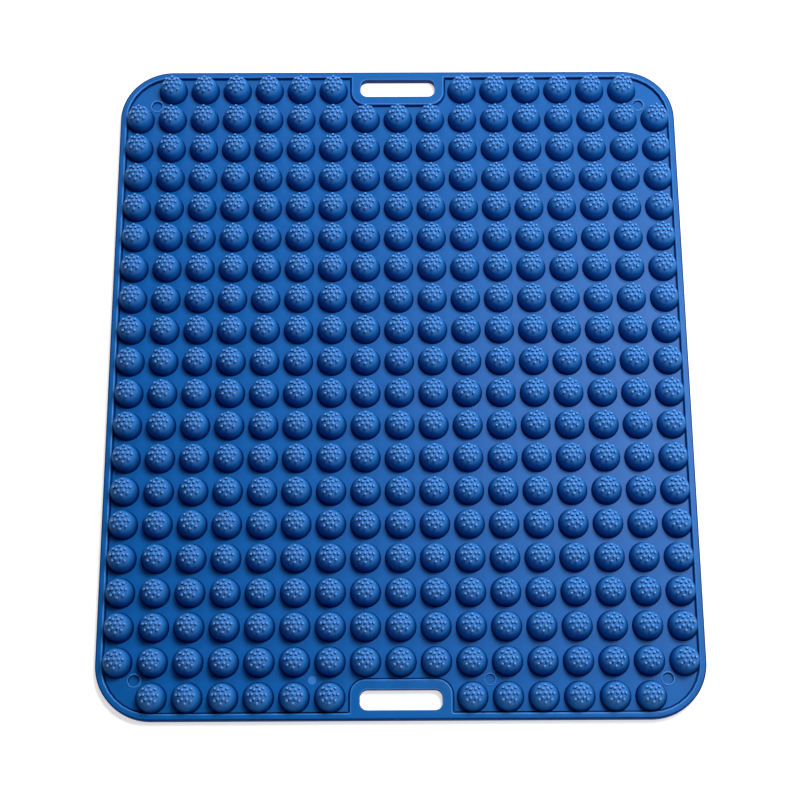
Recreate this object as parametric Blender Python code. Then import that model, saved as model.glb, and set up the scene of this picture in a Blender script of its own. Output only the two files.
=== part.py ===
"""Silicone foot massage mat with a field of domes, a raised rim and two handle slots.

The real mat is one moulding. Here it is divided along its natural features: a base
sheet under everything, the rim that stands on it, a raised frame round each handle
slot, and the rows of domes. Each row of domes grows out of its own band of the
sheet's upper skin, and all of these seat on the base sheet.

The origin is the middle of the underside. X runs across the mat, Y runs along it
from the front end to the rear end, and Z is up. All sizes are in metres.
"""

from dataclasses import dataclass, replace
from math import cos, hypot, pi, radians, sin, sqrt

import bmesh
import bpy

# The field of domes
DOME_COLUMNS = 17
DOME_ROWS = 20
DOME_PITCH = 0.025             # between the centres of neighbouring domes, both ways
DOME_VALLEY = 0.0036           # bare sheet between two neighbouring domes
DOME_HEIGHT = 0.0148           # from the skin's top face to the crown of a dome
DOME_SHOULDER_HEIGHT = 0.005   # where the drafted wall ends and the round cap begins
DOME_DRAFT = 0.0013            # how far the wall leans in between its foot and the shoulder

# The sheet and the rim round it
SHEET_THICKNESS = 0.0035       # base sheet and upper skin together
SKIN_THICKNESS = 0.0013        # the upper skin, from which the domes grow
MAT_CORNER_RADIUS = 0.040
RIM_WIDTH = 0.0038
RIM_HEIGHT = 0.0025            # above the skin's top face
SIDE_VALLEY = 0.0005           # between the outer columns of domes and the rim
END_VALLEY = 0.0015            # between the first and last rows of domes and the rim

# The two handle slots and the raised frame round each
SLOT_LENGTH = 0.059
SLOT_WIDTH = 0.0158
SLOT_CORNER_RADIUS = 0.0045
FRAME_BAR = 0.0055             # frame material beside the slot and towards the domes
FRAME_OUTER_BAR = 0.0021       # frame material between the slot and the rim

# Fits and small edges
SEAT_GAP = 0.0003              # between each piece and what it stands on or meets
EDGE_RADIUS = 0.0008           # top edges of the rim and the frames

# Roundness
DOME_SIDES = 8                 # few, because the mat has hundreds of domes
DOME_CAP_SIDES = 4             # sides of the ring half way up the cap
DOME_CAP_ANGLE = radians(50)   # where that ring lies on the cap's arc
MAT_CORNER_STEPS = 6
SLOT_CORNER_STEPS = 3
EDGE_STEPS = 1

# Moulded silicone
SILICONE_BLUE = (0.020, 0.125, 0.400, 1.0)
SILICONE_ROUGHNESS = 0.42
SILICONE_METALLIC = 0.0
SHARP_ANGLE = radians(50)      # edges sharper than this stay crisp when shaded smooth

# Heights that follow from the sizes above
SKIN_TOP = SHEET_THICKNESS
SKIN_BOTTOM = SKIN_TOP - SKIN_THICKNESS
BASE_TOP = SKIN_BOTTOM - SEAT_GAP
RIM_TOP = SKIN_TOP + RIM_HEIGHT
CROWN = SKIN_TOP + DOME_HEIGHT

# Widths and places that follow from the sizes above
DOME_RADIUS = (DOME_PITCH - DOME_VALLEY) / 2
HALF_WIDTH = (DOME_COLUMNS - 1) / 2 * DOME_PITCH + DOME_RADIUS + SIDE_VALLEY + RIM_WIDTH
HALF_LENGTH = (DOME_ROWS - 1) / 2 * DOME_PITCH + DOME_RADIUS + END_VALLEY + RIM_WIDTH
FRAME_END = HALF_LENGTH - RIM_WIDTH - SEAT_GAP
SLOT_OUTER_EDGE = FRAME_END - FRAME_OUTER_BAR
SLOT_INNER_EDGE = SLOT_OUTER_EDGE - SLOT_WIDTH
FRAME_INNER_EDGE = SLOT_INNER_EDGE - FRAME_BAR
FRAME_HALF_LENGTH = SLOT_LENGTH / 2 + FRAME_BAR


@dataclass(frozen=True)
class Outline:
    """A flat rectangle whose front and rear pairs of corners may be round."""

    half_x: float
    front: float
    rear: float
    front_radius: float
    rear_radius: float
    steps: int

    def grown(self, distance):
        """The outline moved outwards all round, or inwards where distance is negative."""
        return replace(
            self,
            half_x=self.half_x + distance,
            front=self.front - distance,
            rear=self.rear + distance,
            front_radius=self.front_radius + distance if self.front_radius else 0.0,
            rear_radius=self.rear_radius + distance if self.rear_radius else 0.0,
        )

    def points(self):
        """Corner points and arcs, anticlockwise seen from above."""
        corners = (
            (1, self.rear, -1, self.rear_radius, 0.0),
            (-1, self.rear, -1, self.rear_radius, pi / 2),
            (-1, self.front, 1, self.front_radius, pi),
            (1, self.front, 1, self.front_radius, 3 * pi / 2),
        )
        for side, edge_y, inwards, radius, start in corners:
            centre_x = side * (self.half_x - radius)
            centre_y = edge_y + inwards * radius
            steps = self.steps if radius else 0
            for step in range(steps + 1):
                angle = start + (pi / 2) * step / steps if steps else start
                yield centre_x + radius * cos(angle), centre_y + radius * sin(angle)

    def distance_inside(self, x, y):
        """How far a point lies inside the outline, with the corners of the rear end."""
        middle = (self.front + self.rear) / 2
        past_x = abs(x) - (self.half_x - self.rear_radius)
        past_y = abs(y - middle) - ((self.rear - self.front) / 2 - self.rear_radius)
        past_corner = hypot(max(past_x, 0.0), max(past_y, 0.0))
        return self.rear_radius - past_corner - min(max(past_x, past_y), 0.0)


MAT = Outline(
    HALF_WIDTH, -HALF_LENGTH, HALF_LENGTH, MAT_CORNER_RADIUS, MAT_CORNER_RADIUS, MAT_CORNER_STEPS
)
RIM_INNER = MAT.grown(-RIM_WIDTH)
REAR_SLOT = Outline(
    SLOT_LENGTH / 2,
    SLOT_INNER_EDGE,
    SLOT_OUTER_EDGE,
    SLOT_CORNER_RADIUS,
    SLOT_CORNER_RADIUS,
    SLOT_CORNER_STEPS,
)
REAR_FRAME = Outline(
    FRAME_HALF_LENGTH,
    FRAME_INNER_EDGE,
    FRAME_END,
    SLOT_CORNER_RADIUS + FRAME_BAR,
    0.0,
    SLOT_CORNER_STEPS,
)


def turned_end_for_end(outline):
    """The same outline at the other end of the mat."""
    return replace(
        outline,
        front=-outline.rear,
        rear=-outline.front,
        front_radius=outline.rear_radius,
        rear_radius=outline.front_radius,
    )


FRONT_SLOT = turned_end_for_end(REAR_SLOT)
FRONT_FRAME = turned_end_for_end(REAR_FRAME)


def remove_objects():
    """Start from an empty scene."""
    for old in list(bpy.data.objects):
        bpy.data.objects.remove(old)


def silicone(name):
    """One sub-part's own material: satin blue moulded silicone."""
    material = bpy.data.materials.new(name)
    material.use_nodes = True
    shader = material.node_tree.nodes["Principled BSDF"]
    shader.inputs["Base Color"].default_value = SILICONE_BLUE
    shader.inputs["Roughness"].default_value = SILICONE_ROUGHNESS
    shader.inputs["Metallic"].default_value = SILICONE_METALLIC
    material.diffuse_color = SILICONE_BLUE
    return material


def add_solid(name, bm):
    """Put a finished solid in the scene under its sub-part's name."""
    bmesh.ops.recalc_face_normals(bm, faces=bm.faces)
    mesh = bpy.data.meshes.new(name)
    bm.to_mesh(mesh)
    bm.free()
    mesh.materials.append(silicone(name + "_silicone"))
    mesh.shade_smooth()
    mesh.set_sharp_from_angle(angle=SHARP_ANGLE)
    part = bpy.data.objects.new(name, mesh)
    bpy.context.scene.collection.objects.link(part)
    return part


def edge_loop(bm, points, height):
    """Closed ring of edges through flat points at one height."""
    verts = [bm.verts.new((x, y, height)) for x, y in points]
    return [bm.edges.new((vert, verts[i - 1])) for i, vert in enumerate(verts)]


def wall(bm, outline, outwards, bottom, top, edge_radius):
    """Upright wall along an outline, with its top edge rounded off.

    outwards is 1 where the material lies inside the outline, so that the rounding
    draws the outline in, and -1 round a hole, where the rounding opens it out.
    Returns the bottom and the top ring of edges.
    """
    rings = [edge_loop(bm, outline.points(), bottom)]
    if edge_radius:
        for step in range(EDGE_STEPS + 1):
            angle = (pi / 2) * step / EDGE_STEPS
            drawn_in = outline.grown(-outwards * edge_radius * (1 - cos(angle)))
            height = top - edge_radius * (1 - sin(angle))
            rings.append(edge_loop(bm, drawn_in.points(), height))
    else:
        rings.append(edge_loop(bm, outline.points(), top))
    for lower, upper in zip(rings, rings[1:]):
        bmesh.ops.bridge_loops(bm, edges=lower + upper)
    return rings[0], rings[-1]


def plate(name, outer, holes, bottom, top, edge_radius=0.0):
    """A flat plate with holes through it, as a closed solid."""
    bm = bmesh.new()
    walls = [wall(bm, outer, 1, bottom, top, edge_radius)]
    walls += [wall(bm, hole, -1, bottom, top, edge_radius) for hole in holes]
    for face_rings in zip(*walls):
        edges = [edge for ring in face_rings for edge in ring]
        bmesh.ops.triangle_fill(bm, use_beauty=True, edges=edges)
    return add_solid(name, bm)


def add_guide(name, outline):
    """A tall block along an outline, which only shapes the bands of skin."""
    guide = plate(name, outline, (), 0.0, CROWN + SKIN_THICKNESS)
    guide.hide_render = True
    guide.display_type = "WIRE"
    return guide


def ring_points(radius, sides):
    """Corners of a ring with flat sides that encloses as much as the round ring would."""
    reach = radius * sqrt(2 * pi / (sides * sin(2 * pi / sides)))
    for side in range(sides):
        angle = 2 * pi * (side + 0.5) / sides
        yield reach * cos(angle), reach * sin(angle)


def dome_mesh():
    """One dome on the origin's axis, open at its foot on the skin's top face."""
    shoulder_radius = DOME_RADIUS - DOME_DRAFT
    cap_height = DOME_HEIGHT - DOME_SHOULDER_HEIGHT
    cap_radius = shoulder_radius * cos(DOME_CAP_ANGLE)
    rings = (
        (DOME_RADIUS, 0.0, DOME_SIDES),
        (shoulder_radius, DOME_SHOULDER_HEIGHT, DOME_SIDES),
        (cap_radius, DOME_SHOULDER_HEIGHT + cap_height * sin(DOME_CAP_ANGLE), DOME_CAP_SIDES),
    )
    bm = bmesh.new()
    for radius, height, sides in rings:
        for x, y in ring_points(radius, sides):
            bm.verts.new((x, y, SKIN_TOP + height))
    bm.verts.new((0.0, 0.0, CROWN))
    bmesh.ops.convex_hull(bm, input=bm.verts)
    foot = [face for face in bm.faces if face.calc_center_median().z < SKIN_TOP + SEAT_GAP]
    bmesh.ops.delete(bm, geom=foot, context="FACES")
    mesh = bpy.data.meshes.new("dome")
    bm.to_mesh(mesh)
    bm.free()
    return mesh


def gap_to_frame(x, y):
    """Distance from a point to the nearer handle frame, taken with square corners."""
    beside = max(abs(x) - FRAME_HALF_LENGTH, 0.0)
    short_of = max(FRAME_INNER_EDGE - abs(y), 0.0)
    return hypot(beside, short_of)


def has_room(x, y):
    """Whether a dome at this place stays clear of the rim and both handle frames."""
    needed = DOME_RADIUS + SEAT_GAP
    return RIM_INNER.distance_inside(x, y) >= needed and gap_to_frame(x, y) >= needed


def dome_places(row_y, low_x, high_x):
    """X places of the domes of one row that stand between two limits."""
    for column in range(DOME_COLUMNS):
        x = (column - (DOME_COLUMNS - 1) / 2) * DOME_PITCH
        if low_x < x < high_x and has_room(x, row_y):
            yield x


def end_line():
    """Line between the first two rows from an end, as a distance from the middle.

    It follows the handle frame's inner edge as far as the valley between the domes
    of the two rows lets it.
    """
    middle = (DOME_ROWS / 2 - 1) * DOME_PITCH
    room = DOME_VALLEY / 2 - SEAT_GAP
    return min(max(FRAME_INNER_EDGE - SEAT_GAP / 2, middle - room), middle + room)


def band_edges(row):
    """Front and rear edge of the band of skin that carries a row."""
    lines = [(DOME_ROWS / 2 - line) * DOME_PITCH for line in range(DOME_ROWS + 1)]
    lines[1] = end_line()
    lines[-2] = -end_line()
    rear, front = lines[row], lines[row + 1]
    return front + SEAT_GAP / 2, rear - SEAT_GAP / 2


def add_dome_band(name, dome, row, low_x, high_x, guides):
    """A band of the upper skin with its domes, trimmed to the rim and the handle frames."""
    row_y = ((DOME_ROWS - 1) / 2 - row) * DOME_PITCH
    front, rear = band_edges(row)
    bm = bmesh.new()
    for x in dome_places(row_y, low_x, high_x):
        first_new = len(bm.verts)
        bm.from_mesh(dome)
        bm.verts.ensure_lookup_table()
        bmesh.ops.translate(bm, verts=bm.verts[first_new:], vec=(x, row_y, 0.0))
    feet = [edge for edge in bm.edges if edge.is_boundary]
    corners = ((high_x, rear), (low_x, rear), (low_x, front), (high_x, front))
    upper = edge_loop(bm, corners, SKIN_TOP)
    lower = edge_loop(bm, corners, SKIN_BOTTOM)
    bmesh.ops.triangle_fill(bm, use_beauty=True, edges=feet + upper)
    bmesh.ops.bridge_loops(bm, edges=upper + lower)
    bmesh.ops.contextual_create(bm, geom=lower)
    band = add_solid(name, bm)
    for guide, operation in guides:
        trim = band.modifiers.new("trim", "BOOLEAN")
        trim.solver = "EXACT"
        trim.operation = operation
        trim.object = guide


def add_dome_field():
    """All rows of domes, numbered from the rear end.

    A row that a handle frame reaches into is in two parts, one on each side of it.
    """
    dome = dome_mesh()
    recess = add_guide("recess_guide", RIM_INNER.grown(-SEAT_GAP))
    frames = [
        add_guide("rear_frame_guide", REAR_FRAME.grown(SEAT_GAP)),
        add_guide("front_frame_guide", FRONT_FRAME.grown(SEAT_GAP)),
    ]
    inside_rim = [(recess, "INTERSECT")]
    round_frames = inside_rim + [(frame, "DIFFERENCE") for frame in frames]
    for row in range(DOME_ROWS):
        name = f"dome_row_{row + 1:02d}"
        if max(abs(edge) for edge in band_edges(row)) > FRAME_INNER_EDGE:
            add_dome_band(name + "_left", dome, row, -HALF_WIDTH, -SEAT_GAP / 2, round_frames)
            add_dome_band(name + "_right", dome, row, SEAT_GAP / 2, HALF_WIDTH, round_frames)
        else:
            add_dome_band(name, dome, row, -HALF_WIDTH, HALF_WIDTH, inside_rim)


def main():
    """Build the mat."""
    remove_objects()
    plate("base_sheet", MAT, (REAR_SLOT, FRONT_SLOT), 0.0, BASE_TOP)
    plate("rim", MAT, (RIM_INNER,), SKIN_BOTTOM, RIM_TOP, EDGE_RADIUS)
    plate("rear_handle_frame", REAR_FRAME, (REAR_SLOT,), SKIN_BOTTOM, RIM_TOP, EDGE_RADIUS)
    plate("front_handle_frame", FRONT_FRAME, (FRONT_SLOT,), SKIN_BOTTOM, RIM_TOP, EDGE_RADIUS)
    add_dome_field()


main()
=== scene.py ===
"""Silicone foot massage mat: the seamless moulding and the studio that shows it.

The real mat is one moulding. Here a body piece is the sheet, the rim and both handle
frames in one skin, with the marks that the mould's pins left on the sheet, and each
row of nubbed domes is a piece that grows out of the sheet. All sizes are in metres,
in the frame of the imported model: X runs across the mat, Y along it towards the rear
end, and Z up from the underside.
"""

import logging
from collections.abc import Iterable, Iterator
from dataclasses import dataclass, field
from enum import Enum, IntEnum
from math import atan2, cos, pi, radians, sin, sqrt
from typing import ClassVar

import bmesh
import bpy
from bmesh.types import BMEdge, BMesh, BMFace, BMVert
from mathutils import Matrix, Vector


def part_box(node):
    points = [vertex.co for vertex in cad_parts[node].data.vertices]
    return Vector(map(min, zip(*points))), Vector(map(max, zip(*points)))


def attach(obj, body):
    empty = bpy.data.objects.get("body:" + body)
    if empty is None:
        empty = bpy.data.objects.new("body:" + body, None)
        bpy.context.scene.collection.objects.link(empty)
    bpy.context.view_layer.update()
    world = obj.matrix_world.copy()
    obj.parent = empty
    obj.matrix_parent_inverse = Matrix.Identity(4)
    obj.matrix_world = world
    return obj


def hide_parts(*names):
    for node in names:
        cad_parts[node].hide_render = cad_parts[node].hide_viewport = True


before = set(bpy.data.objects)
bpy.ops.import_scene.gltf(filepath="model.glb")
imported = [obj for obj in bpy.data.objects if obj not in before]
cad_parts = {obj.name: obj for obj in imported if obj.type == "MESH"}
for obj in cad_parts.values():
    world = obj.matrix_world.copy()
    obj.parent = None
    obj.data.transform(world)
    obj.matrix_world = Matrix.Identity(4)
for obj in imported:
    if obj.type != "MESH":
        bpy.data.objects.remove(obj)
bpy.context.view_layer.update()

LOG = logging.getLogger("foot_massage_mat")

BODY = "root"
SHEET_TOP = 0.0035             # height of the sheet's top face above the underside
SAME_PLACE = 1e-6              # points closer than this are one point
SMOOTH_ANGLE = radians(50)     # edges sharper than this stay crisp
ARC_PROFILE = 0.5              # a bevel profile that makes a round corner
KEEP_MATERIAL = -1             # a bevel's new faces keep their neighbours' material

Color = tuple[float, float, float, float]
Socket = bpy.types.NodeSocket
WHITE: Color = (1.0, 1.0, 1.0, 1.0)


class MatEnd(Enum):
    """The two ends of the mat, by the sign of their side of the Y axis."""

    REAR = 1
    FRONT = -1


class BodySkin(IntEnum):
    """Finishes of the body's faces, by their place in its list of materials."""

    PLAIN = 0
    HIGHLIGHT_EDGE_AND_PALE_DISC = 1    # rounded edges and beads, painted lighter as a highlight; also the pale floor of one pin mark
    PAINTED_SHADE_WALL = 2    # upright walls, the mat's outer edge and the groove at a wall's foot, painted dark as shade


class DomeSkin(IntEnum):
    """Finishes of the domes' faces, by their place in their list of materials."""

    DOME = 0
    # painted highlight on the nub tips
    NUB_PAINTED_HIGHLIGHT = 1
    # painted shade round the nub feet
    NUB_FOOT_PAINTED_SHADE = 2


@dataclass(frozen=True)
class Corner:
    """One corner of a flat outline, rounded to a radius."""

    x: float
    y: float
    radius: float


@dataclass(frozen=True)
class WallStep:
    """One step of a wall's profile: how far it draws in, and how far it rises."""

    inwards: float
    upwards: float
    skin: BodySkin = BodySkin.PLAIN


def rounding(radius: float, steps: int, skin: BodySkin) -> Iterator[WallStep]:
    """Profile of an edge that turns from an upright wall to the flat above it.

    Args:
        radius: Radius of the rounded edge.
        steps: Number of flats on the quarter circle.
        skin: Finish of the edge.

    Yields:
        The steps from the wall to the flat.
    """
    for step in range(steps):
        low, high = (pi / 2 * share / steps for share in (step, step + 1))
        yield WallStep(radius * (cos(low) - cos(high)), radius * (sin(high) - sin(low)), skin)


def sinking(radius: float, steps: int, skin: BodySkin) -> Iterator[WallStep]:
    """Profile of an edge that turns from a flat down into an upright wall.

    Args:
        radius: Radius of the rounded edge.
        steps: Number of flats on the quarter circle.
        skin: Finish of the edge.

    Yields:
        The steps from the flat to the wall.
    """
    for step in rounding(radius, steps, skin):
        yield WallStep(step.upwards, -step.inwards, skin)


def at_height(point: Vector, height: float) -> bool:
    """Tell whether a point is at a given height."""
    return abs(point.z - height) < SAME_PLACE


def flat_outline(bm: BMesh, corners: Iterable[Corner], height: float, segments: int) -> BMFace:
    """Make a flat face from its corners and round each of them.

    Args:
        bm: Mesh that gets the face.
        corners: Corners in anticlockwise order.
        height: Height of the face.
        segments: Number of flats on each rounded corner.

    Returns:
        The face, which looks up.
    """
    corners = list(corners)
    verts = [bm.verts.new((corner.x, corner.y, height)) for corner in corners]
    face = bm.faces.new(verts)
    face.normal_update()
    by_radius: dict[float, list[BMVert]] = {}
    for vert, corner in zip(verts, corners):
        by_radius.setdefault(corner.radius, []).append(vert)
    for radius, group in by_radius.items():
        bmesh.ops.bevel(
            bm,
            geom=group,
            offset=radius,
            offset_type="OFFSET",
            affect="VERTICES",
            segments=segments,
            profile=ARC_PROFILE,
            material=KEEP_MATERIAL,
        )
    face = next(found for found in bm.faces if at_height(found.calc_center_median(), height))
    face.normal_update()
    return face


def draw_wall(bm: BMesh, face: BMFace, steps: Iterable[WallStep]) -> BMFace:
    """Draw a wall from a face's outline by insetting the face step by step.

    Args:
        bm: Mesh that holds the face.
        face: Flat face that looks up.
        steps: Profile of the wall.

    Returns:
        The face at the wall's other end.
    """
    for step in steps:
        face.material_index = step.skin
        bmesh.ops.inset_individual(
            bm,
            faces=[face],
            thickness=step.inwards,
            depth=step.upwards,
            use_even_offset=True,
        )
        face.normal_update()
    face.material_index = BodySkin.PLAIN
    return face


def draw_open_wall(bm: BMesh, face: BMFace, steps: Iterable[WallStep]) -> None:
    """Draw a wall from a face's outline and leave its other end open."""
    bmesh.ops.delete(bm, geom=[draw_wall(bm, face, steps)], context="FACES_ONLY")


def open_edges(bm: BMesh, height: float) -> list[BMEdge]:
    """Edges at one height that only one face uses."""
    return [
        edge
        for edge in bm.edges
        if edge.is_boundary and all(at_height(vert.co, height) for vert in edge.verts)
    ]


def fill_level(bm: BMesh, height: float) -> None:
    """Close the flat between all the open outlines at one height."""
    bmesh.ops.triangle_fill(bm, edges=open_edges(bm, height), use_beauty=True, normal=(0, 0, 1))


def settle_order(bm: BMesh) -> None:
    """List edges and faces by their points, because a merging spin varies their order.

    Args:
        bm: Mesh of a spun shape, whose points keep their order from run to run.
    """
    bm.verts.index_update()
    count = len(bm.verts)

    def rank(element: BMEdge | BMFace) -> int:
        """Number an edge or face by the first and the last of its points."""
        places = [vert.index for vert in element.verts]
        return min(places) * count + max(places)

    for elements in (bm.edges, bm.faces):
        elements.sort(key=rank)
        elements.index_update()


def spun(profile: Iterable[tuple[float, float]], sides: int, name: str) -> bpy.types.Mesh:
    """Turn a profile round the Z axis and close it at its foot.

    Args:
        profile: Distance from the axis and height of each point, from foot to pole.
        sides: Number of flats round the axis.
        name: Name of the mesh.

    Returns:
        A closed mesh with its faces outwards.
    """
    bm = bmesh.new()
    verts = [bm.verts.new((radius, 0, height)) for radius, height in profile]
    edges = [bm.edges.new(pair) for pair in zip(verts, verts[1:])]
    bmesh.ops.spin(
        bm,
        geom=verts + edges,
        cent=(0, 0, 0),
        axis=(0, 0, 1),
        angle=2 * pi,
        steps=sides,
        use_merge=True,
    )
    bmesh.ops.remove_doubles(bm, verts=bm.verts, dist=SAME_PLACE)
    settle_order(bm)
    bmesh.ops.holes_fill(bm, edges=[edge for edge in bm.edges if edge.is_boundary], sides=sides)
    bmesh.ops.recalc_face_normals(bm, faces=bm.faces)
    mesh = bpy.data.meshes.new(name)
    bm.to_mesh(mesh)
    bm.free()
    return mesh


def add_copy(bm: BMesh, mesh: bpy.types.Mesh, place: Matrix) -> None:
    """Add a copy of a mesh to another, moved and turned by a matrix.

    Args:
        bm: Mesh that gets the copy.
        mesh: Mesh to copy.
        place: Where the copy goes.
    """
    first_new = len(bm.verts)
    bm.from_mesh(mesh)
    bm.verts.ensure_lookup_table()
    bmesh.ops.transform(bm, matrix=place, verts=bm.verts[first_new:])


def finished_piece(name: str, bm: BMesh, materials: Iterable[bpy.types.Material]) -> bpy.types.Object:
    """Put a finished mesh in the scene, riding on the mat's body.

    Args:
        name: Name of the piece.
        bm: Its mesh, which is freed.
        materials: Its materials, in the order of its faces' material numbers.

    Returns:
        The piece.
    """
    open_count = sum(1 for edge in bm.edges if not edge.is_manifold)
    if open_count:
        LOG.warning("%s has %d open edges", name, open_count)
    mesh = bpy.data.meshes.new(name)
    bm.to_mesh(mesh)
    bm.free()
    for material in materials:
        mesh.materials.append(material)
    mesh.shade_smooth()
    mesh.set_sharp_from_angle(angle=SMOOTH_ANGLE)
    piece = bpy.data.objects.new(name, mesh)
    bpy.context.scene.collection.objects.link(piece)
    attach(piece, BODY)
    return piece


class Nodes:
    """Small helper that adds and links the nodes of one node tree."""

    def __init__(self, tree: bpy.types.NodeTree) -> None:
        """Work on one node tree."""
        self.tree = tree

    def add(self, kind: str, **settings: object) -> bpy.types.Node:
        """Add a node.

        Args:
            kind: Type of the node, without the word ShaderNode.
            settings: Properties to set, or sockets by their name with _ for a space.

        Returns:
            The new node.
        """
        node = self.tree.nodes.new("ShaderNode" + kind)
        for key, value in settings.items():
            if hasattr(node, key):
                setattr(node, key, value)
            else:
                node.inputs[key.replace("_", " ")].default_value = value
        return node

    def link(self, source: Socket, target: Socket) -> None:
        """Link one socket to another."""
        self.tree.links.new(source, target)

    def math(self, operation: str, first: Socket | float, second: Socket | float) -> Socket:
        """Add a maths node.

        Args:
            operation: Its operation.
            first: Socket or number.
            second: Socket or number.

        Returns:
            Its output socket.
        """
        node = self.add("Math", operation=operation)
        for socket, value in zip(node.inputs, (first, second)):
            if isinstance(value, Socket):
                self.link(value, socket)
            else:
                socket.default_value = value
        return node.outputs[0]


class SiliconeSurface:
    """Node group with what all of the moulded silicone shows close up.

    Its colour drifts a little over the mat, its sheen is uneven, and its skin has the
    fine even grain of a spark-eroded mould.
    """

    NAME = "moulded_silicone"
    NUMBERS = (
        ("Drift Scale", 14.0),
        ("Drift Amount", 0.06),
        ("Grain Scale", 2600.0),
        ("Patch Scale", 60.0),
        ("Roughness", 0.42),
        ("Roughness Spread", 0.06),
    )
    NOISE_MIDDLE = 0.5     # a noise swings a value both ways from here

    def __init__(self) -> None:
        """Build the group."""
        self.tree = bpy.data.node_groups.new(self.NAME, "ShaderNodeTree")
        self._add_sockets()
        self._add_nodes()

    def _add_sockets(self) -> None:
        """Give the group its inputs and outputs."""
        interface = self.tree.interface
        interface.new_socket("Color", in_out="INPUT", socket_type="NodeSocketColor")
        for name, value in self.NUMBERS:
            socket = interface.new_socket(name, in_out="INPUT", socket_type="NodeSocketFloat")
            socket.default_value = value
        interface.new_socket("Color", in_out="OUTPUT", socket_type="NodeSocketColor")
        interface.new_socket("Roughness", in_out="OUTPUT", socket_type="NodeSocketFloat")
        interface.new_socket("Grain Height", in_out="OUTPUT", socket_type="NodeSocketFloat")

    def _add_nodes(self) -> None:
        """Build the colour drift, the uneven sheen and the grain."""
        nodes = Nodes(self.tree)
        given = self.tree.nodes.new("NodeGroupInput").outputs
        result = self.tree.nodes.new("NodeGroupOutput").inputs

        drift = self._noise(nodes, given["Drift Scale"], detail=3.0, roughness=0.55)
        tone = nodes.add("HueSaturation")
        nodes.link(given["Color"], tone.inputs["Color"])
        brightness = self._swing(nodes, drift, given["Drift Amount"], middle=1.0)
        nodes.link(brightness, tone.inputs["Value"])
        nodes.link(tone.outputs["Color"], result["Color"])

        patches = self._noise(nodes, given["Patch Scale"], detail=4.0, roughness=0.6)
        sheen = self._swing(nodes, patches, given["Roughness Spread"], given["Roughness"])
        nodes.link(sheen, result["Roughness"])

        grain = self._noise(nodes, given["Grain Scale"], detail=2.0, roughness=0.5)
        nodes.link(grain, result["Grain Height"])

    @staticmethod
    def _noise(nodes: Nodes, scale: Socket, detail: float, roughness: float) -> Socket:
        """Add a noise that stays with the piece.

        Args:
            nodes: The group's nodes.
            scale: Socket that gives the noise's scale.
            detail: How many finer layers the noise has.
            roughness: How much each finer layer adds.

        Returns:
            The socket that gives the noise.
        """
        noise = nodes.add("TexNoise", Detail=detail, Roughness=roughness)
        nodes.link(nodes.add("TexCoord").outputs["Object"], noise.inputs["Vector"])
        nodes.link(scale, noise.inputs["Scale"])
        return noise.outputs["Fac"]

    def _swing(self, nodes: Nodes, noise: Socket, amount: Socket, middle: Socket | float) -> Socket:
        """Swing a value both ways from its middle by a noise.

        Args:
            nodes: The group's nodes.
            noise: Socket that gives the noise.
            amount: Socket that gives the width of the swing.
            middle: Socket or number from which the value swings.

        Returns:
            The socket that gives the value.
        """
        offset = nodes.math("SUBTRACT", noise, self.NOISE_MIDDLE)
        return nodes.math("ADD", nodes.math("MULTIPLY", offset, amount), middle)


@dataclass(frozen=True)
class SiliconeFinish:
    """One finish of the blue silicone.

    Where colours by height are given, lowest first, the colour changes with the height above the
    underside: painted shade darkens the foot of a dome and painted light brightens its crown.
    """

    name: str
    base_color: Color
    roughness: float
    grain_depth: float
    specular: float
    shade_and_light_by_height: tuple[tuple[float, Color], ...] = ()

    def material(self, surface: SiliconeSurface) -> bpy.types.Material:
        """Build the material.

        Args:
            surface: Group with the silicone's colour drift, sheen and grain.

        Returns:
            The material.
        """
        material = bpy.data.materials.new(self.name)
        material.use_nodes = True
        material.diffuse_color = self.base_color
        nodes = Nodes(material.node_tree)
        shader = material.node_tree.nodes["Principled BSDF"]
        shader.inputs["Specular IOR Level"].default_value = self.specular
        group = nodes.add("Group")
        group.node_tree = surface.tree
        group.inputs["Color"].default_value = self.base_color
        group.inputs["Roughness"].default_value = self.roughness
        if self.shade_and_light_by_height:
            nodes.link(self._painted_shade_and_light(nodes), group.inputs["Color"])
        bump = nodes.add("Bump", Strength=1.0, Distance=self.grain_depth)
        nodes.link(group.outputs["Color"], shader.inputs["Base Color"])
        nodes.link(group.outputs["Roughness"], shader.inputs["Roughness"])
        nodes.link(group.outputs["Grain Height"], bump.inputs["Height"])
        nodes.link(bump.outputs["Normal"], shader.inputs["Normal"])
        return material

    def _painted_shade_and_light(self, nodes: Nodes) -> Socket:
        """Add a colour that changes with the height above the underside, with painted shade low down
        and painted light high up.

        Args:
            nodes: The material's nodes.

        Returns:
            The socket that gives the colour.
        """
        low, high = self.shade_and_light_by_height[0][0], self.shade_and_light_by_height[-1][0]
        split = nodes.add("SeparateXYZ")
        nodes.link(nodes.add("TexCoord").outputs["Object"], split.inputs[0])
        share = nodes.add("MapRange", From_Min=low, From_Max=high)
        nodes.link(split.outputs["Z"], share.inputs["Value"])
        blend = nodes.add("ValToRGB")
        ramp = blend.color_ramp
        ramp.interpolation = "EASE"
        for height, _ in self.shade_and_light_by_height[1:-1]:
            ramp.elements.new((height - low) / (high - low))
        for element, (_, color) in zip(ramp.elements, self.shade_and_light_by_height):
            element.color = color
        nodes.link(share.outputs["Result"], blend.inputs["Fac"])
        return blend.outputs["Color"]


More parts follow.
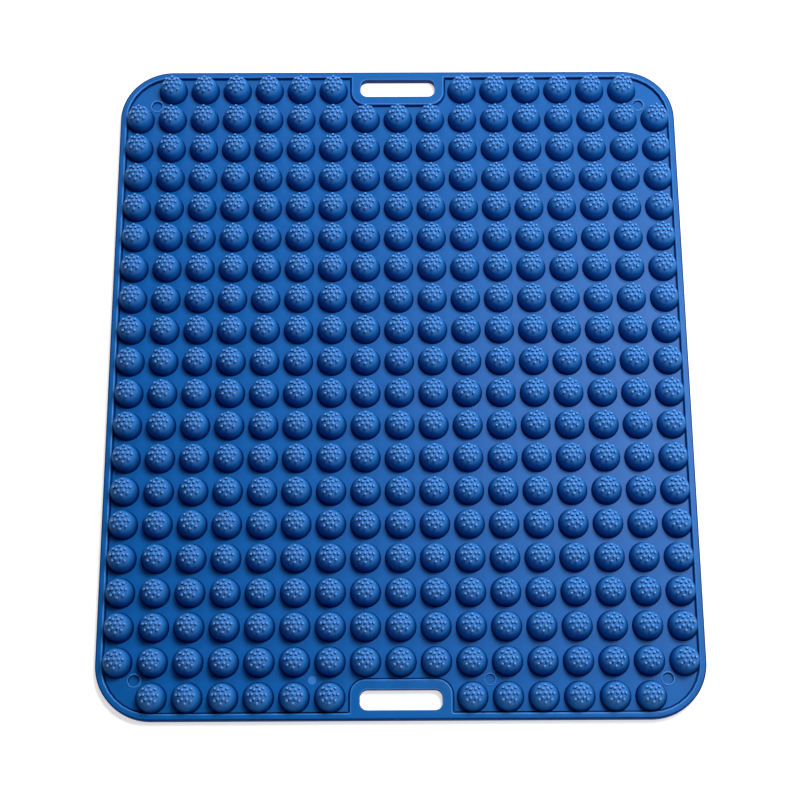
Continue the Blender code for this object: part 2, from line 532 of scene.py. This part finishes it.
@dataclass(frozen=True)
class PinMark:
    """Round mark that a pin of the mould left on the sheet.

    A mark is a hollow, most often with a bead round it. Each of their steps is a pair of
    shares, how far it draws in and how far it rises: of a third of the bead's width and
    of its height, or both of the height of the hollow's wall.
    """

    BEAD_STEPS: ClassVar[tuple[tuple[float, float], ...]] = ((0.6, 0.7), (0.9, 0.3), (0.9, -0.3))
    HOLLOW_STEPS: ClassVar[tuple[tuple[float, float], ...]] = ((0.1, -0.8), (0.2, -0.2))
    BEAD_INNER_HEIGHT: ClassVar[float] = 0.7     # share of its height at which the bead ends

    x: float
    y: float
    radius: float
    bead_width: float
    bead_height: float
    depth: float
    floor_skin: BodySkin = BodySkin.PLAIN
    sides: int = 32

    def add_to(self, bm: BMesh) -> None:
        """Cut the mark's outline into the sheet's plane and shape the mark inside it.

        Args:
            bm: Mesh of the body, whose sheet isn't filled yet.
        """
        place = Matrix.Translation((self.x, self.y, SHEET_TOP))
        made = bmesh.ops.create_circle(
            bm, cap_ends=True, radius=self.radius, segments=self.sides, matrix=place
        )
        face = made["verts"][0].link_faces[0]
        face.normal_update()
        if face.normal.z < 0:
            face.normal_flip()
        draw_wall(bm, face, self._profile()).material_index = self.floor_skin

    def _profile(self) -> Iterator[WallStep]:
        """Profile of the bead, if the mark has one, and of the hollow inside it.

        Yields:
            The steps from the sheet to the hollow's floor.
        """
        if self.bead_height:
            third = self.bead_width / len(self.BEAD_STEPS)
            # the bead is painted lighter as a highlight
            for run, rise in self.BEAD_STEPS:
                yield WallStep(third * run, self.bead_height * rise, BodySkin.HIGHLIGHT_EDGE_AND_PALE_DISC)
        else:
            yield WallStep(self.bead_width, 0.0)
        drop = self.depth + self.bead_height * self.BEAD_INNER_HEIGHT
        # the hollow's wall is painted dark as shade
        for run, rise in self.HOLLOW_STEPS:
            yield WallStep(drop * run, drop * rise, BodySkin.PAINTED_SHADE_WALL)


@dataclass
class MatBody:
    """The sheet, the rim, both handle frames and the slots, as one skin."""

    corner_radius: float = 0.040
    rim_width: float = 0.0038
    slot_half_length: float = 0.0295
    slot_width: float = 0.0158
    slot_corner_radius: float = 0.0058
    frame_corner_radius: float = 0.010
    frame_root_radius: float = 0.0015     # where a frame runs into the rim
    slot_to_rim: float = 0.0024
    rim_edge_radius: float = 0.0010
    recess_edge_radius: float = 0.0010
    slot_edge_radius: float = 0.0006
    wall_draft: float = 0.0001
    groove_width: float = 0.0011          # round the recess, at the foot of its wall
    groove_slope: float = 0.0004
    groove_depth: float = 0.0006
    mat_corner_segments: int = 24
    small_corner_segments: int = 8
    edge_steps: int = 3
    # x, y, radius, bead width, bead height and depth of each mark, and its floor's finish
    pin_marks: tuple[PinMark, ...] = (
        PinMark(-0.1875, 0.2250, 0.0053, 0.0015, 0.0006, 0.0013),
        PinMark(0.1875, 0.2250, 0.0053, 0.0015, 0.0006, 0.0013),
        PinMark(-0.1875, -0.2250, 0.0053, 0.0015, 0.0006, 0.0013),
        PinMark(0.1875, -0.2250, 0.0053, 0.0015, 0.0006, 0.0013),
        PinMark(0.0625, -0.2250, 0.0045, 0.0010, 0.0004, 0.0009),
        # its floor is pale, in the finish that also paints highlights on edges
        PinMark(-0.0625, -0.2250, 0.0034, 0.0002, 0.0, 0.0004, BodySkin.HIGHLIGHT_EDGE_AND_PALE_DISC),
    )
    rim_top: float = field(init=False)
    half_width: float = field(init=False)
    half_length: float = field(init=False)
    frame_half_length: float = field(init=False)
    frame_inner_edge: float = field(init=False)

    def __post_init__(self) -> None:
        """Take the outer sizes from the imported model."""
        rim_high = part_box("rim")[1]
        frame_low, frame_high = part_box("rear_handle_frame")
        self.half_width, self.half_length, self.rim_top = rim_high
        self.frame_half_length = frame_high.x
        self.frame_inner_edge = frame_low.y

    def build(self, materials: Iterable[bpy.types.Material]) -> bpy.types.Object:
        """Build the body.

        Args:
            materials: Its finishes, in the order of BodySkin.

        Returns:
            The piece, which stands for the CAD's sheet, rim and frames.
        """
        bm = bmesh.new()
        self._add_outer_wall(bm)
        self._add_recess(bm)
        for end in MatEnd:
            self._add_slot(bm, end)
        fill_level(bm, self.rim_top)
        fill_level(bm, 0.0)
        for mark in self.pin_marks:
            mark.add_to(bm)
        fill_level(bm, SHEET_TOP)
        bmesh.ops.recalc_face_normals(bm, faces=bm.faces)
        piece = finished_piece("mat_body", bm, materials)
        even = piece.modifiers.new("even_shading", "WEIGHTED_NORMAL")
        even.keep_sharp = True
        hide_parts("base_sheet", "rim", "rear_handle_frame", "front_handle_frame")
        return piece

    def _add_outer_wall(self, bm: BMesh) -> None:
        """Build the mat's side wall, from the underside to the rim's flat top.

        Args:
            bm: Mesh of the body.
        """
        corners = [
            Corner(x * self.half_width, y * self.half_length, self.corner_radius)
            for x, y in ((1, 1), (-1, 1), (-1, -1), (1, -1))
        ]
        face = flat_outline(bm, corners, 0.0, self.mat_corner_segments)
        # the side wall and its rounded top edge are painted dark as shade
        upright = WallStep(0.0, self.rim_top - self.rim_edge_radius, BodySkin.PAINTED_SHADE_WALL)
        edge = rounding(self.rim_edge_radius, self.edge_steps, BodySkin.PAINTED_SHADE_WALL)
        draw_open_wall(bm, face, [upright, *edge])

    def _recess_corners(self) -> Iterator[Corner]:
        """Corners of the recess that holds the domes, round both handle frames.

        Yields:
            The corners, anticlockwise from the right rear.
        """
        wide = self.half_width - self.rim_width
        long = self.half_length - self.rim_width
        beside = self.frame_half_length
        quarter = (
            Corner(wide, long, self.corner_radius - self.rim_width),
            Corner(beside, long, self.frame_root_radius),
            Corner(beside, self.frame_inner_edge, self.frame_corner_radius),
        )
        yield from quarter
        for corner in reversed(quarter):
            yield Corner(-corner.x, corner.y, corner.radius)
        for corner in quarter:
            yield Corner(-corner.x, -corner.y, corner.radius)
        for corner in reversed(quarter):
            yield Corner(corner.x, -corner.y, corner.radius)

    def _add_recess(self, bm: BMesh) -> None:
        """Sink the recess from the rim's top to the sheet, with the groove at its foot.

        Args:
            bm: Mesh of the body.
        """
        face = flat_outline(bm, self._recess_corners(), self.rim_top, self.small_corner_segments)
        drop = self.rim_top - SHEET_TOP - self.recess_edge_radius + self.groove_depth
        # painted highlight on the recess's rounded edge, painted shade on its wall and groove
        steps = [
            *sinking(self.recess_edge_radius, self.edge_steps, BodySkin.HIGHLIGHT_EDGE_AND_PALE_DISC),
            WallStep(self.wall_draft, -drop, BodySkin.PAINTED_SHADE_WALL),
            WallStep(self.groove_width - self.groove_slope, 0.0, BodySkin.PAINTED_SHADE_WALL),
            WallStep(self.groove_slope, self.groove_depth, BodySkin.PAINTED_SHADE_WALL),
        ]
        draw_open_wall(bm, face, steps)

    def _add_slot(self, bm: BMesh, end: MatEnd) -> None:
        """Sink a handle slot from the frame's top through the underside.

        Args:
            bm: Mesh of the body.
            end: End of the mat that the slot is at.
        """
        outer = self.half_length - self.rim_width - self.slot_to_rim
        inner = outer - self.slot_width
        low, high = sorted((end.value * inner, end.value * outer))
        wide = self.slot_half_length
        corners = [
            Corner(x, y, self.slot_corner_radius)
            for x, y in ((wide, high), (-wide, high), (-wide, low), (wide, low))
        ]
        face = flat_outline(bm, corners, self.rim_top, self.small_corner_segments)
        drop = self.rim_top - self.slot_edge_radius
        # painted highlight on the slot's rounded edge, painted shade on its wall
        steps = [
            *sinking(self.slot_edge_radius, self.edge_steps, BodySkin.HIGHLIGHT_EDGE_AND_PALE_DISC),
            WallStep(0.0, -drop, BodySkin.PAINTED_SHADE_WALL),
        ]
        draw_open_wall(bm, face, steps)


@dataclass(frozen=True)
class Nub:
    """One of the small round points on a dome."""

    radius: float = 0.0011
    height: float = 0.0018        # above the dome's surface at its middle
    root_depth: float = 0.0011    # hidden inside the dome
    wall_taper: float = 0.96      # share of the radius that is left at the top of its wall
    wall_top: float = 0.60        # share of the height where the wall turns into the tip
    tip_width: float = 0.70       # share of the radius halfway round the tip
    tip_rise: float = 0.88        # share of the height there
    sides: int = 8

    def profile(self) -> Iterator[tuple[float, float]]:
        """Outline of the nub, with the dome's surface at height 0.

        Yields:
            Distance from the axis and height of each point, from root to tip.
        """
        yield self.radius, -self.root_depth
        yield self.radius * self.wall_taper, self.height * self.wall_top
        yield self.radius * self.tip_width, self.height * self.tip_rise
        yield 0.0, self.height

    def mesh(self) -> bpy.types.Mesh:
        """Build the nub at the origin.

        Returns:
            Its mesh, with a painted highlight on its tip and painted shade round its foot.
        """
        mesh = spun(self.profile(), self.sides, "nub")
        # the tip is painted lighter as a highlight, the foot darker as shade
        for face in mesh.polygons:
            is_tip = face.center.z > self.height * self.wall_top
            face.material_index = DomeSkin.NUB_PAINTED_HIGHLIGHT if is_tip else DomeSkin.NUB_FOOT_PAINTED_SHADE
        return mesh


@dataclass(frozen=True)
class NubRing:
    """A ring of evenly spaced nubs on a dome."""

    radius: float
    count: int


@dataclass
class Dome:
    """One massage dome with its nubs, standing on the sheet at the origin."""

    foot_radius: float = 0.0108
    draft: float = 0.0012
    shoulder_height: float = 0.0050
    height: float = 0.0148
    flare: float = 0.0004         # the fillet that widens the foot where it meets the sheet
    flare_low: float = 0.2        # height at which the fillet starts, in widths of it
    flare_high: float = 1.6       # height at which it ends
    root_depth: float = 0.0008    # hidden inside the sheet
    sides: int = 24
    cap_steps: int = 5
    nub: Nub = field(default_factory=Nub)
    nub_lean: float = 0.8         # 0 stands upright, 1 stands square to the dome's surface
    nub_rings: tuple[NubRing, ...] = (NubRing(0.0, 1), NubRing(0.0033, 6), NubRing(0.0056, 8))

    @property
    def cap_radius(self) -> float:
        """Radius where the drafted wall turns into the round cap."""
        return self.foot_radius - self.draft

    def cap_height(self, distance: float) -> float:
        """Height of the cap at a distance from the dome's axis."""
        share = sqrt(1 - (distance / self.cap_radius) ** 2)
        return self.shoulder_height + (self.height - self.shoulder_height) * share

    def cap_slope(self, distance: float) -> float:
        """Slope of the cap at a distance from the dome's axis.

        Args:
            distance: Distance from the axis.

        Returns:
            The angle by which the cap falls away there.
        """
        rise = self.height - self.shoulder_height
        along = distance / self.cap_radius
        return atan2(rise / self.cap_radius * along, sqrt(1 - along**2))

    def profile(self) -> Iterator[tuple[float, float]]:
        """Outline of the dome, with the sheet's top face at height 0.

        Yields:
            Distance from the axis and height of each point, from root to crown.
        """
        yield self.foot_radius + self.flare, -self.root_depth
        yield self.foot_radius + self.flare, self.flare * self.flare_low
        yield self.foot_radius, self.flare * self.flare_high
        for step in range(self.cap_steps):
            angle = pi / 2 * step / self.cap_steps
            rise = (self.height - self.shoulder_height) * sin(angle)
            yield self.cap_radius * cos(angle), self.shoulder_height + rise
        yield 0.0, self.height

    def mesh(self) -> bpy.types.Mesh:
        """Build the dome and its nubs at the origin.

        Returns:
            One mesh that holds them all.
        """
        bm = bmesh.new()
        bm.from_mesh(spun(self.profile(), self.sides, "plain_dome"))
        nub = self.nub.mesh()
        for ring in self.nub_rings:
            for number in range(ring.count):
                turn = Matrix.Rotation(2 * pi * number / ring.count, 4, "Z")
                place = Matrix.Translation((ring.radius, 0, self.cap_height(ring.radius)))
                lean = Matrix.Rotation(self.nub_lean * self.cap_slope(ring.radius), 4, "Y")
                add_copy(bm, nub, turn @ place @ lean)
        mesh = bpy.data.meshes.new("dome")
        bm.to_mesh(mesh)
        bm.free()
        return mesh


@dataclass
class DomeField:
    """All the rows of domes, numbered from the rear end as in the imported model."""

    rows: int = 20
    columns: int = 17
    pitch: float = 0.025
    # Columns where a round corner or a handle frame leaves no room in the end rows
    missing_at_ends: frozenset[int] = frozenset({0, 7, 8, 9, 16})
    dome: Dome = field(default_factory=Dome)

    def build(self, materials: Iterable[bpy.types.Material]) -> list[bpy.types.Object]:
        """Build a piece for each row's node, with its domes inside that node's box.

        Args:
            materials: Their finishes, in the order of DomeSkin.

        Returns:
            The pieces.
        """
        dome = self.dome.mesh()
        pieces = []
        for row in range(self.rows):
            y = ((self.rows - 1) / 2 - row) * self.pitch
            for node in self._nodes_of_row(row):
                bm = bmesh.new()
                for x in self._places(row, node):
                    add_copy(bm, dome, Matrix.Translation((x, y, SHEET_TOP)))
                piece = finished_piece(node.replace("dome_row", "nubbed_domes"), bm, materials)
                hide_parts(node)
                pieces.append(piece)
        return pieces

    def _nodes_of_row(self, row: int) -> list[str]:
        """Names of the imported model's nodes that carry a row."""
        name = f"dome_row_{row + 1:02d}"
        return sorted(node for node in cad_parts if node.startswith(name))

    def _places(self, row: int, node: str) -> Iterator[float]:
        """Places of a row's domes that stand inside a node's box.

        Args:
            row: Number of the row, from 0 at the rear end.
            node: Name of the node.

        Yields:
            The x of each dome's axis, from left to right.
        """
        low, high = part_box(node)
        at_end = row in (0, self.rows - 1)
        for column in range(self.columns):
            x = (column - (self.columns - 1) / 2) * self.pitch
            if low.x < x < high.x and not (at_end and column in self.missing_at_ends):
                yield x


@dataclass(frozen=True)
class SoftLamp:
    """A large square softbox that looks at the middle of the mat."""

    name: str
    azimuth: float        # degrees clockwise from the rear end, seen from above
    elevation: float      # degrees above the sheet
    distance: float
    size: float
    power: float

    def build(self) -> None:
        """Put the lamp in the scene."""
        lamp = bpy.data.lights.new(self.name, "AREA")
        lamp.shape = "SQUARE"
        lamp.size = self.size
        lamp.energy = self.power
        around, above = radians(self.azimuth), radians(self.elevation)
        towards = Vector((sin(around) * cos(above), cos(around) * cos(above), sin(above)))
        holder = bpy.data.objects.new(self.name, lamp)
        holder.location = towards * self.distance
        holder.rotation_euler = towards.to_track_quat("Z", "Y").to_euler()
        bpy.context.scene.collection.objects.link(holder)


@dataclass
class Studio:
    """Plain white floor, soft lamps and a pale surrounding."""

    floor_half_size: float = 4.0
    floor_gap: float = 0.0002         # keeps the floor off the mat's flat underside
    floor_color: Color = (0.80, 0.795, 0.79, 1.0)
    floor_roughness: float = 0.9
    floor_specular: float = 0.1
    floor_lift: float = 0.62          # beside the mat, where the floor shows its shadow
    far_lift: float = 1.0             # out where the lamps don't reach
    lift_from: float = 0.5            # distances between which the one turns into the other
    lift_to: float = 1.5
    sky_strength: float = 0.004
    # Name, azimuth, elevation, distance, size and power of each lamp
    lamps: tuple[SoftLamp, ...] = (
        SoftLamp("key_softbox", 41.0, 64.5, 1.6, 0.5, 19.2),
        SoftLamp("back_softbox", 350.0, 40.0, 1.6, 0.7, 7.2),
        SoftLamp("right_softbox", 90.0, 50.0, 0.75, 0.4, 1.8),
        SoftLamp("low_softbox", 0.0, 16.0, 1.6, 0.7, 1.2),
        SoftLamp("front_card", 180.0, 20.0, 0.7, 0.5, 0.5),
        SoftLamp("under_softbox", 0.0, -90.0, 1.2, 1.0, 12.0),
    )

    def build(self) -> None:
        """Put the floor, the lamps and the surrounding light in the scene."""
        self._add_floor()
        for lamp in self.lamps:
            lamp.build()
        self._set_world()

    def _add_floor(self) -> None:
        """Add the floor, which keeps the mat's shadow and is clear from below."""
        bm = bmesh.new()
        place = Matrix.Translation((0, 0, -self.floor_gap))
        bmesh.ops.create_grid(
            bm, x_segments=1, y_segments=1, size=self.floor_half_size, matrix=place
        )
        mesh = bpy.data.meshes.new("studio_floor")
        bm.to_mesh(mesh)
        bm.free()
        mesh.materials.append(self._floor_material())
        floor = bpy.data.objects.new("studio_floor", mesh)
        floor.visible_shadow = False
        bpy.context.scene.collection.objects.link(floor)

    def _floor_material(self) -> bpy.types.Material:
        """Build matt white paper, lifted towards white where the camera sees it.

        Returns:
            The material.
        """
        material = bpy.data.materials.new("studio_paper")
        material.use_nodes = True
        nodes = Nodes(material.node_tree)
        shader = material.node_tree.nodes["Principled BSDF"]
        shader.inputs["Base Color"].default_value = self.floor_color
        shader.inputs["Roughness"].default_value = self.floor_roughness
        shader.inputs["Specular IOR Level"].default_value = self.floor_specular
        shader.inputs["Emission Color"].default_value = WHITE
        distance = nodes.add("VectorMath", operation="LENGTH")
        nodes.link(nodes.add("TexCoord").outputs["Object"], distance.inputs[0])
        rise = nodes.add(
            "MapRange",
            From_Min=self.lift_from,
            From_Max=self.lift_to,
            To_Min=self.floor_lift,
            To_Max=self.far_lift,
        )
        nodes.link(distance.outputs["Value"], rise.inputs["Value"])
        lift = nodes.math("MULTIPLY", self._seen(nodes), rise.outputs["Result"])
        nodes.link(lift, shader.inputs["Emission Strength"])
        sides = nodes.add("MixShader")
        nodes.link(nodes.add("NewGeometry").outputs["Backfacing"], sides.inputs["Fac"])
        nodes.link(shader.outputs[0], sides.inputs[1])
        nodes.link(nodes.add("BsdfTransparent").outputs[0], sides.inputs[2])
        output = material.node_tree.nodes["Material Output"]
        nodes.link(sides.outputs[0], output.inputs["Surface"])
        return material

    @staticmethod
    def _seen(nodes: Nodes) -> Socket:
        """Tell the rays by which the camera sees from the ones that light the mat.

        Args:
            nodes: Nodes of a material or the world.

        Returns:
            A socket that gives 1 for what the camera sees, also in a reflection or
            through something, and 0 for the rest.
        """
        path = nodes.add("LightPath")
        seen = nodes.math("MAXIMUM", path.outputs["Is Camera Ray"], path.outputs["Is Glossy Ray"])
        return nodes.math("MAXIMUM", seen, path.outputs["Is Transmission Ray"])

    def _set_world(self) -> None:
        """Light everything softly, and show white where the camera looks past the floor."""
        world = bpy.data.worlds.new("studio")
        world.use_nodes = True
        bpy.context.scene.world = world
        nodes = Nodes(world.node_tree)
        background = world.node_tree.nodes["Background"]
        background.inputs["Color"].default_value = WHITE
        strength = nodes.add("MapRange", To_Min=self.sky_strength, To_Max=1.0)
        nodes.link(self._seen(nodes), strength.inputs["Value"])
        nodes.link(strength.outputs["Result"], background.inputs["Strength"])


@dataclass(frozen=True)
class PhotoCamera:
    """Camera at the photo's viewing angle."""

    location: tuple[float, float, float] = (-0.00793, -0.46070, 1.29844)
    turn: tuple[float, float, float] = (-3.4712711, 0.0087161, -0.0094229)    # axis times angle
    focal_pixels: float = 1854.19
    frame_pixels: float = 800.0
    sensor_width: float = 36.0

    def build(self) -> None:
        """Put the camera in the scene and look through it."""
        camera = bpy.data.cameras.new("photo_camera")
        camera.sensor_width = self.sensor_width
        camera.lens = self.sensor_width * self.focal_pixels / self.frame_pixels
        holder = bpy.data.objects.new("photo_camera", camera)
        turn = Vector(self.turn)
        to_lens = Matrix.Rotation(turn.length, 3, turn.normalized())
        facing = to_lens.transposed() @ Matrix.Diagonal((1.0, -1.0, -1.0))
        holder.matrix_world = Matrix.Translation(self.location) @ facing.to_4x4()
        bpy.context.scene.collection.objects.link(holder)
        bpy.context.scene.camera = holder


@dataclass
class Mat:
    """The whole mat."""

    body: MatBody = field(default_factory=MatBody)
    domes: DomeField = field(default_factory=DomeField)
    body_finishes: tuple[SiliconeFinish, ...] = (
        SiliconeFinish(
            "satin_blue_silicone",
            base_color=(0.0008, 0.107, 0.388, 1.0),
            roughness=0.36,
            grain_depth=0.00002,
            specular=0.098,
        ),
        # painted highlight: lighter blue on rounded edges and beads, also the pale floor of one pin
        # mark
        SiliconeFinish(
            "highlight_edge_and_pale_disc_silicone",
            base_color=(0.030, 0.210, 0.600, 1.0),
            roughness=0.34,
            grain_depth=0.00001,
            specular=0.2,
        ),
        # painted shade: darker blue on upright walls and the groove
        SiliconeFinish(
            "painted_shade_wall_silicone",
            base_color=(0.0012, 0.034, 0.190, 1.0),
            roughness=0.42,
            grain_depth=0.00002,
            specular=0.02,
        ),
    )
    dome_finishes: tuple[SiliconeFinish, ...] = (
        SiliconeFinish(
            "painted_light_and_shade_dome_silicone",
            base_color=(0.034, 0.185, 0.530, 1.0),
            roughness=0.38,
            grain_depth=0.00002,
            specular=0.035,
            # painted shade at each dome's foot, painted light at its crown
            shade_and_light_by_height=(
                (SHEET_TOP, (0.0003, 0.005, 0.095, 1.0)),
                (0.0105, (0.009, 0.146, 0.480, 1.0)),
                (0.0178, (0.054, 0.220, 0.610, 1.0)),
            ),
        ),
        # painted highlight: a lighter blue for the nub tips
        SiliconeFinish(
            "painted_highlight_nub_silicone",
            base_color=(0.096, 0.325, 0.800, 1.0),
            roughness=0.28,
            grain_depth=0.00001,
            specular=0.25,
        ),
        # painted shade: a dark blue round the nub feet
        SiliconeFinish(
            "painted_shade_nub_foot_silicone",
            base_color=(0.002, 0.034, 0.205, 1.0),
            roughness=0.40,
            grain_depth=0.00001,
            specular=0.02,
        ),
    )

    def build(self) -> list[bpy.types.Object]:
        """Build and dress every piece of the mat.

        Returns:
            The pieces.
        """
        surface = SiliconeSurface()
        body = self.body.build([finish.material(surface) for finish in self.body_finishes])
        dressed = [finish.material(surface) for finish in self.dome_finishes]
        return [body, *self.domes.build(dressed)]


def main() -> None:
    """Build the camera, the mat and the studio, and report each piece."""
    logging.basicConfig(level=logging.INFO, format="%(name)s: %(message)s")
    PhotoCamera().build()
    pieces = Mat().build()
    for piece in pieces:
        LOG.info("%s: %d faces", piece.name, len(piece.data.polygons))
    Studio().build()
    bpy.context.scene.view_settings.view_transform = "Standard"
    LOG.info("%d pieces in all", len(pieces))


if __name__ == "__main__":
    main()
